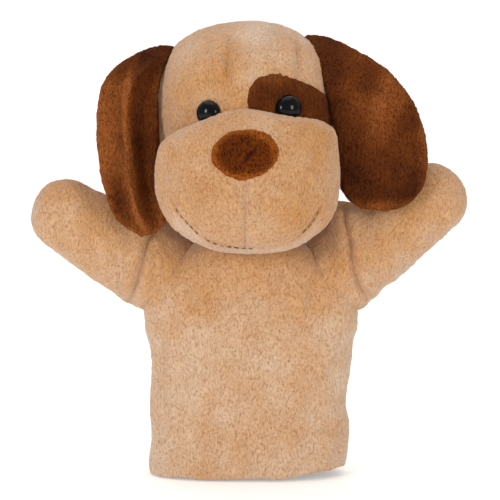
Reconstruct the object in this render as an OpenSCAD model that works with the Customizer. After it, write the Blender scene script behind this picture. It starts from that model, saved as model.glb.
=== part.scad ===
// Dog hand puppet: a plush glove with two sleeves, a stuffed head on a finger pocket, floppy ears.
// Millimetres. +Z is up, the face looks along -Y, and +X is the puppet's own left side.
// The origin is the centre of the glove's mouth, in the plane of its hem.

/* [Glove] */
// Width of the glove across its mouth
body_w = 103; // [96:1:108]
// Depth of the glove across its belly
body_d = 54; // [50:1:58]
// Height of the glove's top edge, at the neck
body_h = 128; // [126:1:129]
// Thickness of the plush, backing and flattened pile together
cloth = 2.5; // [1.8:0.1:2.8]
// Height of the facing sewn inside the mouth
hem_h = 15; // [8:1:20]

/* [Sleeves] */
// Angle of a raised sleeve above the horizontal
arm_rise = 36.5; // [30:0.5:42]
// Distance from the shoulder to the middle of the paw
arm_reach = 56; // [53:0.5:58]
// Radius of the round paw, seen from the front
paw_r = 18; // [16:0.5:18.5]
// Depth of the paw as a share of its width
paw_flat = 0.85; // [0.8:0.01:0.9]

/* [Head] */
// Width of the skull
skull_w = 92; // [86:1:94]
// Height of the skull, from its neck edge up
skull_h = 100; // [96:1:104]
// Height of the middle of the skull
skull_z = 190; // [188:1:192]
// Width of the muzzle
muzzle_w = 95; // [90:1:98]
// How far the muzzle's front stands before the neck's axis
muzzle_y = 65; // [60:1:68]
// Height of the muzzle's fullest level
muzzle_z = 157; // [156:1:159]
// Diameter of the safety eyes
eye_d = 12; // [9:0.5:13]
// Distance between the two eyes
eye_gap = 41; // [36:1:46]
// Height of the eyes
eye_z = 194; // [193:0.5:198]
// Radius of the finger pocket in the head
finger_r = 10; // [8:0.5:10]

/* [Ears] */
// Thickness of one layer of an ear
ear_cloth = 2; // [1.4:0.1:2]
// How far forward an ear leans at its lower end
ear_lean = 18.5; // [18:0.5:20]

/* [Hidden] */
$fn = 64;

tan_plush = [0.80, 0.62, 0.44];
brown_plush = [0.36, 0.17, 0.07];
lining_white = [0.93, 0.91, 0.87];
eye_black = [0.03, 0.03, 0.03];
thread_brown = [0.22, 0.12, 0.06];

gap = 0.4;                        // air left between two sewn pieces
square_ness = 2.4;                // power of the rounded outlines
body_mid_z = 60;                  // level at which the glove is deepest
yoke_z = 100;                     // level at which the shoulders begin to round over
neck_edge_r = 21.6;               // outer radius of the glove's neck edge
neck = [0, 0, 138];               // the head nods and turns about this point
neck_clear = 20.8;                // everything but the neck band stays out of this ball
shoulder = [50, 0, 110.5];        // a sleeve lifts and closes about this point
shoulder_clear = 26.2;            // everything but the armhole band stays out of this ball
centre_y = 10.8;                  // puts the neck's axis behind the middle of the puppet's depth
skull_base_z = 147;               // neck edge of the skull
jaw_slope = 0.9;                  // how fast the throat runs forward as it drops
muzzle_up = 37;                   // muzzle's half height above its fullest level
muzzle_down = 40;                 // and below it
muzzle_back = 33;                 // the muzzle's middle stands this far before the neck's axis
mouth_lift = 7;                   // degrees between the mouth seam and the chin's rear edge
nose_at = [0, 170];               // middle of the nose, x and z
nose_size = [17, 12];             // half width and half height
patch_at = [22.5, 193];           // middle of the patch round the left eye, x and z
patch_size = [24, 19];
patch_cloth = 1.6;
sleeve_start = 17.8;              // distance from the shoulder to the sleeve's edge
sleeve_root_r = 22;               // outer radius there
stem_r = 1.9;
pocket_top_z = 205;
pocket_wall = 1.2;

function smooth(t) = let (c = max(0, min(1, t))) c * c * (3 - 2 * c);
function mix(a, b, t) = a + (b - a) * t;
function bezier(p, t) =
    pow(1 - t, 3) * p[0] + 3 * t * pow(1 - t, 2) * p[1] + 3 * t * t * (1 - t) * p[2] + pow(t, 3) * p[3];
function steps(a, b, n) = [for (i = [0:n]) mix(a, b, i / n)];

module in_place() {
    translate([0, centre_y, 0]) children();
}

// A closed sheet between an outer and an inner grid of points. Seen from outside, the first index
// runs right and the second runs up. With pole, the last row is one point.
module sheet(outer, inner, pole = false) {
    nu = len(outer);
    nv = len(outer[0]);
    n = nu * nv;
    u_end = nu - 1;
    v_end = nv - 1;
    function id(i, j) = (pole && j == v_end) ? v_end : i * nv + j;
    skin = [for (i = [0:nu - 2], j = [0:nv - 2]) each [
        [id(i, j), id(i, j + 1), id(i + 1, j + 1)],
        [id(i, j), id(i + 1, j + 1), id(i + 1, j)]]];
    back = [for (f = skin) [n + f[0], n + f[2], n + f[1]]];
    ends = [for (i = [0:nu - 2]) each [
        [id(i, 0), id(i + 1, 0), n + id(i + 1, 0)],
        [id(i, 0), n + id(i + 1, 0), n + id(i, 0)],
        [id(i + 1, v_end), id(i, v_end), n + id(i, v_end)],
        [id(i + 1, v_end), n + id(i, v_end), n + id(i + 1, v_end)]]];
    sides = [for (j = [0:nv - 2]) each [
        [id(0, j + 1), id(0, j), n + id(0, j)],
        [id(0, j + 1), n + id(0, j), n + id(0, j + 1)],
        [id(u_end, j), id(u_end, j + 1), n + id(u_end, j + 1)],
        [id(u_end, j), n + id(u_end, j + 1), n + id(u_end, j)]]];
    polyhedron(
        [for (row = outer) each row, for (row = inner) each row],
        [for (f = concat(skin, back, ends, sides)) if (f[0] != f[1] && f[1] != f[2] && f[2] != f[0]) f]);
}

// ---- glove ----
// Over the shoulders the outline shrinks to a round neck edge: rise runs 0 to 1 up this part.
function rise(z) = max(0, (z - yoke_z) / (body_h - yoke_z));
function glove_w(z, in = 0) = (z < yoke_z
    ? body_w / 2 + 2.5 * smooth((z - 70) / 26)
    : mix(neck_edge_r, body_w / 2 + 2.5, pow(1 - pow(rise(z), 1.7), 1 / 1.7))) - in;
function glove_d(z, in = 0) =
    mix(body_d / 2 - 1.5 * pow((z - body_mid_z) / body_mid_z, 2), neck_edge_r, smooth((z - 72) / 40)) - in;
function outline_power(z) = mix(square_ness, 2, rise(z));
// A point of the front panel: a is the angle round the glove, 0 at the left side seam.
function glove_point(a, z, in = 0) = [
    glove_w(z, in) * sign(cos(a)) * pow(abs(cos(a)), 2 / outline_power(z)),
    -gap / 2 - glove_d(z, in) * pow(sin(a), 2 / outline_power(z)),
    z];
// The angle at which the panel meets the armhole, which is 0 above and below it.
function from_shoulder(a, z) =
    min(norm(glove_point(a, z) - shoulder), norm(glove_point(a, z, cloth) - shoulder));
function armhole_angle(z, lo = 0, hi = 90, n = 12) = let (mid = (lo + hi) / 2)
    n == 0 ? hi : from_shoulder(mid, z) > shoulder_clear + gap
        ? armhole_angle(z, lo, mid, n - 1) : armhole_angle(z, mid, hi, n - 1);
function panel_edge(z) = from_shoulder(0, z) > shoulder_clear + gap ? 0 : armhole_angle(z);

module glove_panel() {
    levels = concat([0, 15, 30, 45, 60, 72, 80, 83, 85, 88, 92, 97, 103, 109],
        [for (k = [0.2, 0.38, 0.54, 0.66, 0.77, 0.87, 0.94, 1]) mix(109, body_h, k)]);
    function grid(in) = [for (s = steps(1, 0, 12))
        [for (z = levels) glove_point(mix(panel_edge(z), 180 - panel_edge(z), s), z, in)]];
    color(tan_plush) sheet(grid(0), grid(cloth));
}

module glove_front() {
    in_place() glove_panel();
}

module glove_back() {
    in_place() rotate([0, 0, 180]) glove_panel();
}

module hem_outline(in) {
    polygon([for (a = [0:10:350]) let (c = cos(a), s = sin(a))
        [(glove_w(0, in)) * sign(c) * pow(abs(c), 2 / square_ness),
         (glove_d(0, in)) * sign(s) * pow(abs(s), 2 / square_ness)]]);
}

module hem_facing() {
    color(tan_plush) in_place() linear_extrude(hem_h) difference() {
        hem_outline(cloth + gap);
        hem_outline(cloth + gap + 1.5);
    }
}

// A blank woven care label, folded once, hanging behind the hand.
module care_label() {
    color(lining_white) in_place() translate([-10, glove_d(0, cloth) - 3.2, 17]) union() {
        cube([20, 0.5, 30]);
        translate([0, 0.9, 0]) cube([20, 0.5, 30]);
        cube([20, 1.4, 0.6]);
    }
}

// ---- neck ----
module neck_band() {
    color(tan_plush) in_place() translate(neck + [0, 0, -8]) difference() {
        cylinder(h = 16, r = 18.6);
        translate([0, 0, -1]) cylinder(h = 18, r = 16.4);
    }
}

// ---- head ----
function skull_r(z, in = 0) = let (t = min(1, abs(z - skull_z) / (skull_h / 2 - in)))
    (skull_w / 2 - in) * pow(max(0, 1 - pow(t, square_ness)), 1 / square_ness);
function crown_z(in = 0) = skull_z + skull_h / 2 - in;
// The surface that the muzzle is stuffed against: the face, and under it the throat.
function core_r(z) = z > skull_base_z ? skull_r(z) : skull_r(skull_base_z) + (skull_base_z - z) * jaw_slope;

function skull_profile(in, low) = concat(
    [for (s = steps(0, 1, 14)) let (z = mix(low, crown_z(in), sin(90 * s))) [skull_r(z, in), z]]);

module skull_shell(angle) {
    outer = skull_profile(0, skull_base_z);
    inner = skull_profile(cloth, skull_base_z);
    rotate_extrude(angle = angle) polygon(concat(outer, [for (i = [len(inner) - 1:-1:0]) inner[i]]));
}

// Puts its children on the skull's front with +Z pointing out of the face at one eye's place.
module at_eye(side) {
    rotate([0, 0, side * asin(eye_gap / skull_w)]) translate([0, 0, eye_z]) rotate([90, 0, 0]) children();
}

module face_panel() {
    color(tan_plush) in_place() translate([0, -gap / 2, 0]) difference() {
        rotate([0, 0, 180]) skull_shell(180);
        for (side = [-1, 1]) at_eye(side) cylinder(h = skull_w, r = stem_r + 0.2);
    }
}

module head_back_left() {
    color(tan_plush) in_place() translate([gap / 2, gap / 2, 0]) skull_shell(90);
}

module head_back_right() {
    mirror([1, 0, 0]) head_back_left();
}

module head_stuffing() {
    space = cloth + gap;
    color(lining_white) in_place() difference() {
        rotate_extrude() polygon(concat([[0, skull_base_z]], skull_profile(space, skull_base_z)));
        translate(neck) sphere(r = neck_clear);
        translate([0, 0, skull_base_z - 1])
            cylinder(h = pocket_top_z - skull_base_z + 1.2, r = finger_r + pocket_wall + 0.2);
        for (side = [-1, 1]) at_eye(side) translate([0, 0, 34]) cylinder(h = 20, r = 8);
    }
}

module finger_pocket() {
    color(lining_white) in_place() translate([0, 0, skull_base_z]) difference() {
        cylinder(h = pocket_top_z - skull_base_z, r = finger_r + pocket_wall);
        translate([0, 0, -1]) cylinder(h = pocket_top_z - skull_base_z - 1, r = finger_r);
    }
}

// A point of the muzzle: turn goes round from its top, lean goes back from its front.
function muzzle_point(turn, lean, in = 0) = [
    (muzzle_w / 2 - in) * sin(lean) * sin(turn),
    -muzzle_back - (muzzle_y - muzzle_back - in) * cos(lean),
    muzzle_z + ((cos(turn) > 0 ? muzzle_up : muzzle_down) - in) * sin(lean) * cos(turn)];
function off_core(p) = norm([p[0], p[1]]) - core_r(p[2]);
// The lean at which the muzzle's inner face comes down to the face or the throat.
function rim(turn, lo = 20, hi = 125, n = 14) = let (mid = (lo + hi) / 2)
    n == 0 ? lo : off_core(muzzle_point(turn, mid, cloth)) > gap * 2
        ? rim(turn, mid, hi, n - 1) : rim(turn, lo, mid, n - 1);
// The mouth seam turns off the rim on both sides and runs above the chin.
function mouth(turn) = rim(turn) - mouth_lift * smooth((abs(turn) - 104) / 22);
// A square of values from -1 to 1 laid out as a round patch: how far out, and which way.
function disc(u, v) = let (p = u * sqrt(1 - v * v / 2), q = v * sqrt(1 - u * u / 2))
    [norm([p, q]), atan2(p, q)];

module muzzle_half() {
    function grid(in) = [for (u = steps(0, 1, 9)) [for (v = steps(-1, 1, 14)) let (
        d = disc(u, v), p = muzzle_point(d[1], d[0] * mouth(d[1]), in))
        [max(p[0], 0) + gap / 2, p[1], p[2]]]];
    color(tan_plush) in_place() sheet(grid(0), grid(cloth));
}

module muzzle_left() {
    muzzle_half();
}

module muzzle_right() {
    mirror([1, 0, 0]) muzzle_half();
}

// The lower lip: the strip under the mouth seam.
module chin_panel() {
    seam = 3.2;
    function grid(in) = [for (turn = steps(-243, -117, 22))
        [for (s = [0, 1]) muzzle_point(turn, mix(rim(turn), mouth(turn) + seam, s), in)]];
    color(tan_plush) in_place() sheet(grid(0), grid(cloth));
}

// Runs under the jaw from the chin back to the neck.
module throat_panel() {
    low = 121.5;
    high = skull_base_z - 1.5;
    color(tan_plush) in_place() rotate([0, 0, -90 - 36]) rotate_extrude(angle = 72)
        polygon([[core_r(low), low], [core_r(high), high],
            [core_r(high) - cloth, high], [core_r(low) - cloth, low]]);
}

module muzzle_stuffing() {
    reach = 0.9;
    depth = cloth + 1.4 * gap;
    function inner(p) = let (k = (core_r(p[2]) + gap) / norm([p[0], p[1]])) [p[0] * k, p[1] * k, p[2]];
    outer = [for (u = steps(-1, 1, 14)) [for (v = steps(-1, 1, 14)) let (d = disc(u, v))
        muzzle_point(d[1], d[0] * mouth(d[1]) * reach, depth)]];
    color(lining_white) in_place() sheet(outer, [for (row = outer) [for (p = row) inner(p)]]);
}

// A point on the muzzle's front, lift millimetres off its cloth.
function on_muzzle(x, z, lift) = let (
    half = z > muzzle_z ? muzzle_up : muzzle_down,
    k = 1 - pow(x / (muzzle_w / 2 + lift), 2) - pow((z - muzzle_z) / (half + lift), 2))
    [x, -muzzle_back - (muzzle_y - muzzle_back + lift) * sqrt(max(0, k)), z];
function nose_grid(share, lift, puff) = [for (u = steps(-1, 1, 8)) [for (v = steps(-1, 1, 8))
    let (d = disc(u, v)) on_muzzle(
        nose_at[0] + nose_size[0] * share * d[0] * sin(d[1]),
        nose_at[1] + nose_size[1] * share * d[0] * cos(d[1]),
        lift + puff * (1 - pow(share * d[0], 2)))]];

module nose_patch() {
    color(brown_plush) in_place() sheet(nose_grid(1, 1.9, 1.6), nose_grid(1, 0.5, 1.6));
}

module nose_padding() {
    color(lining_white) in_place() sheet(nose_grid(0.7, 0.2, 1.6), nose_grid(0.7, 0.2, 0));
}

// The patch's outline seen from the front: an oval cut off along the muzzle's seam.
function patch_outline() = [for (a = [0:12:348]) let (
    x = patch_at[0] + patch_size[0] * cos(a),
    seam_z = muzzle_z + muzzle_up - 1.2 - pow(x / (muzzle_w / 2), 2) * 17)
    [min(x, skull_w / 2 - 0.6), max(patch_at[1] + patch_size[1] * sin(a), seam_z)]];

module eye_patch() {
    profile = [for (z = [170:6:218]) [skull_r(z) + gap, z]];
    color(brown_plush) in_place() translate([0, -gap / 2, 0]) difference() {
        intersection() {
            rotate([0, 0, 180]) rotate_extrude(angle = 180)
                polygon(concat([for (p = profile) p + [patch_cloth, 0]],
                    [for (i = [len(profile) - 1:-1:0]) profile[i]]));
            rotate([90, 0, 0]) linear_extrude(skull_w) polygon(patch_outline());
        }
        at_eye(1) cylinder(h = skull_w, r = stem_r + 0.2);
    }
}

// Thread of the mouth seam: short stitches along both sides of the mouth.
module mouth_stitches() {
    color(thread_brown) in_place() for (side = [-1, 1], turn = [118:10:168]) {
        a = muzzle_point(side * turn, mouth(turn) - 1.5, -0.5);
        b = muzzle_point(side * (turn + 6), mouth(turn + 6) - 1.5, -0.5);
        along = b - a;
        translate(a) rotate([0, acos(along[2] / norm(along)), atan2(along[1], along[0])])
            cylinder(h = norm(along), r = 0.35, $fn = 6);
    }
}

// A moulded eye: a dome with a stem behind it.
module safety_eye(seat) {
    dome = eye_d / 2;
    color(eye_black) rotate_extrude() polygon(concat(
        [[0, 36], [stem_r, 36], [stem_r, seat], [dome * 0.9, seat], [dome, seat + 0.8]],
        [for (a = [15:15:75]) [dome * cos(a), seat + 0.8 + dome * 0.62 * sin(a)]],
        [[0, seat + 0.8 + dome * 0.62]]));
}

module left_eye() {
    in_place() at_eye(1) safety_eye(skull_w / 2 + gap + patch_cloth + 0.7);
}

module right_eye() {
    in_place() at_eye(-1) safety_eye(skull_w / 2 + 0.6);
}

module eye_washer(side) {
    color(lining_white) in_place() at_eye(side) translate([0, 0, skull_w / 2 - cloth - 2.4]) difference() {
        cylinder(h = 1.5, r = 7);
        translate([0, 0, -1]) cylinder(h = 4, r = stem_r + 0.1);
    }
}

// ---- ears ----
// Each ear's inner and outer edges, as x and z from its seam on the head to its tip.
left_inner_edge = [[45, 212], [52, 196], [50, 150], [61, 143.5]];
left_outer_edge = [[31.5, 232.5], [88, 236], [108, 150], [74, 143.5]];
right_inner_edge = [[46.5, 208], [54, 192], [51, 142], [52, 130]];
right_outer_edge = [[41, 222], [74, 226], [96, 146], [58, 130]];

// The middle of an ear leans forward as it hangs, so that its end lies before the sleeve.
function ear_point(inner, outer, s, t, lift) = let (p = mix(bezier(inner, t), bezier(outer, t), s))
    [p[0], -2 - ear_lean * smooth(t * 1.4) - 2.5 * sin(180 * s) * sin(180 * t) - lift, p[1]];

module ear_layer(inner, outer, lift) {
    function grid(out) = [for (s = steps(0, 1, 7)) [for (t = steps(1, 0, 11))
        ear_point(inner, outer, s, t, out)]];
    color(brown_plush) in_place() sheet(grid(lift + ear_cloth), grid(lift));
}

module left_ear_front() {
    ear_layer(left_inner_edge, left_outer_edge, ear_cloth + 0.3);
}

module left_ear_back() {
    ear_layer(left_inner_edge, left_outer_edge, 0);
}

module right_ear_front() {
    mirror([1, 0, 0]) ear_layer(right_inner_edge, right_outer_edge, ear_cloth + 0.3);
}

module right_ear_back() {
    mirror([1, 0, 0]) ear_layer(right_inner_edge, right_outer_edge, 0);
}

// ---- sleeves ----
// Lays its children along the left sleeve, which runs out along +Z from the shoulder.
module along_arm() {
    translate(shoulder) rotate([0, 90 - arm_rise, 0]) children();
}

module armhole_band() {
    color(tan_plush) in_place() translate(shoulder) rotate([0, 90 - arm_rise / 2, 0]) difference() {
        translate([0, 0, -13]) cylinder(h = 26, r = 22);
        translate([0, 0, -14]) cylinder(h = 28, r = 19.6);
    }
}

function along_sleeve(s) = smooth((s - sleeve_start) / (arm_reach - sleeve_start));
function sleeve_r(s, in) = s < arm_reach
    ? mix(sleeve_root_r, paw_r, along_sleeve(s)) - in
    : (paw_r - in) * sqrt(max(0, 1 - pow((s - arm_reach) / (paw_r - in), 2)));

module sleeve_half() {
    function length_at(in) = concat(steps(sleeve_start, arm_reach, 5),
        [for (a = [18:18:90]) arm_reach + (paw_r - in) * sin(a)]);
    function grid(in) = [for (a = steps(180, 0, 10)) [for (s = length_at(in)) let (
        r = max(0, sleeve_r(s, in)),
        flat = mix(1, paw_flat, along_sleeve(s)))
        [r * cos(a), -gap / 2 - r * flat * sin(a), s]]];
    color(tan_plush) along_arm() sheet(grid(0), grid(cloth), pole = true);
}

module paw_stuffing() {
    color(lining_white) in_place() along_arm()
        translate([0, 0, arm_reach]) sphere(r = paw_r * paw_flat - cloth - gap * 2);
}

module left_armhole_band() {
    armhole_band();
}

module right_armhole_band() {
    mirror([1, 0, 0]) armhole_band();
}

module left_sleeve_front() {
    in_place() sleeve_half();
}

module left_sleeve_back() {
    in_place() mirror([0, 1, 0]) sleeve_half();
}

module left_paw_stuffing() {
    paw_stuffing();
}

module right_sleeve_front() {
    in_place() mirror([1, 0, 0]) sleeve_half();
}

module right_sleeve_back() {
    in_place() mirror([1, 0, 0]) mirror([0, 1, 0]) sleeve_half();
}

module right_paw_stuffing() {
    mirror([1, 0, 0]) paw_stuffing();
}

glove_front();
glove_back();
hem_facing();
care_label();
neck_band();
face_panel();
head_back_left();
head_back_right();
muzzle_left();
muzzle_right();
chin_panel();
throat_panel();
head_stuffing();
muzzle_stuffing();
finger_pocket();
nose_patch();
nose_padding();
eye_patch();
mouth_stitches();
left_eye();
right_eye();
eye_washer(1);  // left_eye_washer
eye_washer(-1);  // right_eye_washer
left_ear_front();
left_ear_back();
right_ear_front();
right_ear_back();
left_armhole_band();
right_armhole_band();
left_sleeve_front();
left_sleeve_back();
left_paw_stuffing();
right_sleeve_front();
right_sleeve_back();
right_paw_stuffing();
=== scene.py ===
import math
import bmesh
import bpy
import numpy as np
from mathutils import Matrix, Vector


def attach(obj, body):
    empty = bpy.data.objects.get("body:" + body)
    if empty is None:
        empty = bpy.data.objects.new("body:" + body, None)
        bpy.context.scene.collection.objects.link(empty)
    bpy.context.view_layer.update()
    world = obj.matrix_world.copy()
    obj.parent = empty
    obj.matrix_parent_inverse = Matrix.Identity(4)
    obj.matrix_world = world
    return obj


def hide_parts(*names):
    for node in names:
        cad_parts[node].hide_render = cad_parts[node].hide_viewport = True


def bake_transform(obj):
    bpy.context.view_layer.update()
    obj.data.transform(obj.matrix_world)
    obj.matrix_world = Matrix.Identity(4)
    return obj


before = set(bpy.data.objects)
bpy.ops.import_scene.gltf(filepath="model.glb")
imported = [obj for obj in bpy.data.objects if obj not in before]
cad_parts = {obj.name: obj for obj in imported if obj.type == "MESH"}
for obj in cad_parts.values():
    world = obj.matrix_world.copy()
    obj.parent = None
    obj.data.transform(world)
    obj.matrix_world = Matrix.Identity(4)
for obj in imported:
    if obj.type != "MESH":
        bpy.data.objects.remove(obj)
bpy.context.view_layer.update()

neckY = 10.8          # mm, the neck's axis stands this far behind the origin
mm = 0.001            # metres in a millimetre


# 0 up to a, 1 from b, and a smooth cubic between them
def smoothStep(a, b, x):
    t = np.clip((x - a) / (b - a), 0, 1)
    return t * t * (3 - 2 * t)


# a bell of height 1 round a centre
def bell(x, centre, width):
    return np.exp(-((x - centre) / width) ** 2)


# cubic spans that pass through the points, each with the slope that its neighbours give (Catmull-Rom)
def curveThrough(points, t, closed=False):
    p = np.asarray(points, float)
    n = len(p)
    spans = n if closed else n - 1
    x = np.clip(t, 0, 1) * spans
    i = np.minimum(x.astype(int), spans - 1)
    f = (x - i)[..., None]
    at = (lambda k: p[(i + k) % n]) if closed else (lambda k: p[np.clip(i + k, 0, n - 1)])
    a, b, c, d = at(-1), at(0), at(1), at(2)
    square, cube = 2 * a - 5 * b + 4 * c - d, 3 * b - a - 3 * c + d
    return 0.5 * (2 * b + (c - a) * f + square * f ** 2 + cube * f ** 3)


# a value that runs smoothly through a table of (place, value) pairs
def runThrough(table, x):
    places = np.array([row[0] for row in table], float)
    values = np.array([[row[1]] for row in table], float)
    steps = np.interp(x, places, np.linspace(0, 1, len(places)))
    return curveThrough(values, steps)[..., 0]


# A value from -1 to 1 for each corner of a lattice: its whole numbers and the seed are multiplied by large
# primes, joined by exclusive or, and stirred twice within 32 bits.
def cornerValue(i, seed):
    px, py, pz, ps = 73856093, 19349663, 83492791, 9176117
    low = 0xffffffff
    h = ((i[..., 0] * px) ^ (i[..., 1] * py) ^ (i[..., 2] * pz) ^ (seed * ps)) & low
    h = (h ^ (h >> 16)) * 0x45d9f3b & low
    h = (h ^ (h >> 15)) * 0x2c1b3c6d & low
    return (h ^ (h >> 13)) / low * 2 - 1


# Lattice noise: the values at the eight corners of the cube round each point, joined by smooth cubics.
# size is a cube's side in mm, and stretch draws the cubes out along x, y and z.
def noise(points, size, seed, stretch=(1, 1, 1)):
    shift = 57.31  # cubes, so that no side of a cube falls on the puppet's middle
    q = points / (np.array(stretch, float) * size) + shift
    i = np.floor(q).astype(np.int64)
    f = q - i
    f = f * f * (3 - 2 * f)
    total = 0
    for dx in (0, 1):
        for dy in (0, 1):
            for dz in (0, 1):
                weight = (np.where(dx, f[..., 0], 1 - f[..., 0]) * np.where(dy, f[..., 1], 1 - f[..., 1])
                          * np.where(dz, f[..., 2], 1 - f[..., 2]))
                total = total + weight * cornerValue(i + np.array([dx, dy, dz]), seed)
    return total


# A grid of points becomes quads, one for each four neighbours, wrapped round where the grid closes. Points
# nearer than weld mm are merged at seams and poles, and the faces are turned outwards. Edges that bend by
# more than sharp degrees stay crisp.
def gridPiece(name, points, wrapU=True, wrapV=False, weld=0.02, sharp=None):
    nu, nv = points.shape[:2]
    u = np.arange(nu if wrapU else nu - 1)
    v = np.arange(nv if wrapV else nv - 1)
    iu, iv = np.meshgrid(u, v, indexing="ij")
    ju, jv = (iu + 1) % nu, (iv + 1) % nv
    quads = np.stack([iu * nv + iv, ju * nv + iv, ju * nv + jv, iu * nv + jv], -1).reshape(-1, 4)
    mesh = bpy.data.meshes.new(name)
    mesh.vertices.add(nu * nv)
    mesh.vertices.foreach_set("co", (points.reshape(-1, 3) * mm).astype(np.float32).ravel())
    mesh.loops.add(quads.size)
    mesh.loops.foreach_set("vertex_index", quads.astype(np.int32).ravel())
    mesh.polygons.add(len(quads))
    mesh.polygons.foreach_set("loop_start", np.arange(0, quads.size, 4, dtype=np.int32))
    mesh.update(calc_edges=True)
    work = bmesh.new()
    work.from_mesh(mesh)
    bmesh.ops.remove_doubles(work, verts=work.verts, dist=weld * mm)
    bmesh.ops.dissolve_degenerate(work, edges=work.edges, dist=0.0001 * mm)
    bmesh.ops.recalc_face_normals(work, faces=work.faces)
    work.to_mesh(mesh)
    work.free()
    mesh.polygons.foreach_set("use_smooth", np.ones(len(mesh.polygons), bool))
    mesh.update()
    if sharp:
        mesh.set_sharp_from_angle(angle=math.radians(sharp))
    piece = bpy.data.objects.new(name, mesh)
    bpy.context.scene.collection.objects.link(piece)
    return piece


# the vertices' places in millimetres, a row for each
def vertexPlaces(mesh):
    found = np.empty(len(mesh.vertices) * 3, np.float32)
    mesh.vertices.foreach_get("co", found)
    return found.reshape(-1, 3).astype(float) / mm


# the vertices' normals, a row for each
def vertexNormals(mesh):
    found = np.empty(len(mesh.vertices) * 3, np.float32)
    mesh.vertex_normals.foreach_get("vector", found)
    return found.reshape(-1, 3).astype(float)


# 1 where a point's shortest edge is full mm or more, falling evenly to 0 where the points crowd at a pole
def roomRound(mesh, places, full=0.25):
    ends = np.empty(len(mesh.edges) * 2, np.int32)
    mesh.edges.foreach_get("vertices", ends)
    ends = ends.reshape(-1, 2)
    length = np.linalg.norm(places[ends[:, 0]] - places[ends[:, 1]], axis=1)
    shortest = np.full(len(places), full)
    np.minimum.at(shortest, ends[:, 0], length)
    np.minimum.at(shortest, ends[:, 1], length)
    return shortest / full


# The cloth's soft lumps, the locks of pile, their tufts and the tufts' single ends: heights and sizes are in
# mm, and the stretches say how many times as tall as wide a lock or tuft is. bendBy mm is how far the locks
# are pushed aside, over places bendSize mm apart.
shortPile = dict(lumps=0.5, lumpSize=14, locks=0.25, lockSize=2.8, lockStretch=2.4,
                 tufts=0.26, tuftSize=1.3, tuftStretch=2.6, ends=0.16, bendBy=2.2, bendSize=9)


# Moves each point along its normal by noise at three sizes and a random height of its own. The places are
# first pushed about by a broad noise, so that the locks and tufts, which are drawn out up and down, bend.
def raisePile(piece, look, seed):
    mesh = piece.data
    places, normals = vertexPlaces(mesh), vertexNormals(mesh)
    push = np.stack([noise(places, look["bendSize"], seed + k) for k in (5, 6, 7)], -1)
    bent = places + look["bendBy"] * push
    height = look["lumps"] * noise(places, look["lumpSize"], seed)
    height += look["locks"] * noise(bent, look["lockSize"], seed + 1, (1, 1, look["lockStretch"]))
    height += look["tufts"] * noise(bent, look["tuftSize"], seed + 2, (1, 1, look["tuftStretch"]))
    scatter = np.random.default_rng(seed).uniform(-1, 1, len(places))
    height += look["ends"] * scatter * roomRound(mesh, places)
    places += normals * height[:, None]
    mesh.vertices.foreach_set("co", (places * mm).astype(np.float32).ravel())
    mesh.update()


# Keeps painted light and shade, over how the pile lies, at each point as an attribute that the plush
# reads: the rule gives less than 0 for painted shade and more than 0 for painted light.
def setNapAndPaintedLight(piece, rule):
    x, y, z = vertexPlaces(piece.data).T
    values = rule(x, y, z) * np.ones_like(x)
    layer = piece.data.attributes.new("napAndPaintedLight", "FLOAT", "POINT")
    layer.data.foreach_set("value", values.astype(np.float32))


# an sRGB hex colour turned to linear, by the sRGB curve: straight near black, then a power of 2.4
def hexColour(text):
    c = np.array([int(text[i:i + 2], 16) for i in (1, 3, 5)]) / 255
    linear = np.where(c <= 0.04045, c / 12.92, ((c + 0.055) / 1.055) ** 2.4)
    return (*[float(x) for x in linear], 1.0)


# adds a node, with values for its sockets, the outputs that its sockets take, and its own settings
def addNode(tree, kind, values=None, links=None, **settings):
    made = tree.nodes.new(kind)
    for name, value in settings.items():
        setattr(made, name, value)
    for socket, value in (values or {}).items():
        made.inputs[socket].default_value = value
    for socket, source in (links or {}).items():
        tree.links.new(source, made.inputs[socket])
    return made


# a material with an empty node tree
def newMaterial(name):
    material = bpy.data.materials.new(name)
    material.use_nodes = True
    tree = material.node_tree
    tree.nodes.clear()
    return material, tree


# sets a ramp's stops from pairs of place and colour
def setRamp(node, stops):
    line = node.color_ramp
    while len(line.elements) < len(stops):
        line.elements.new(0.5)
    for element, (at, colour) in zip(line.elements, stops):
        element.position = at
        element.color = hexColour(colour)
    return node.outputs["Color"]
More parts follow.
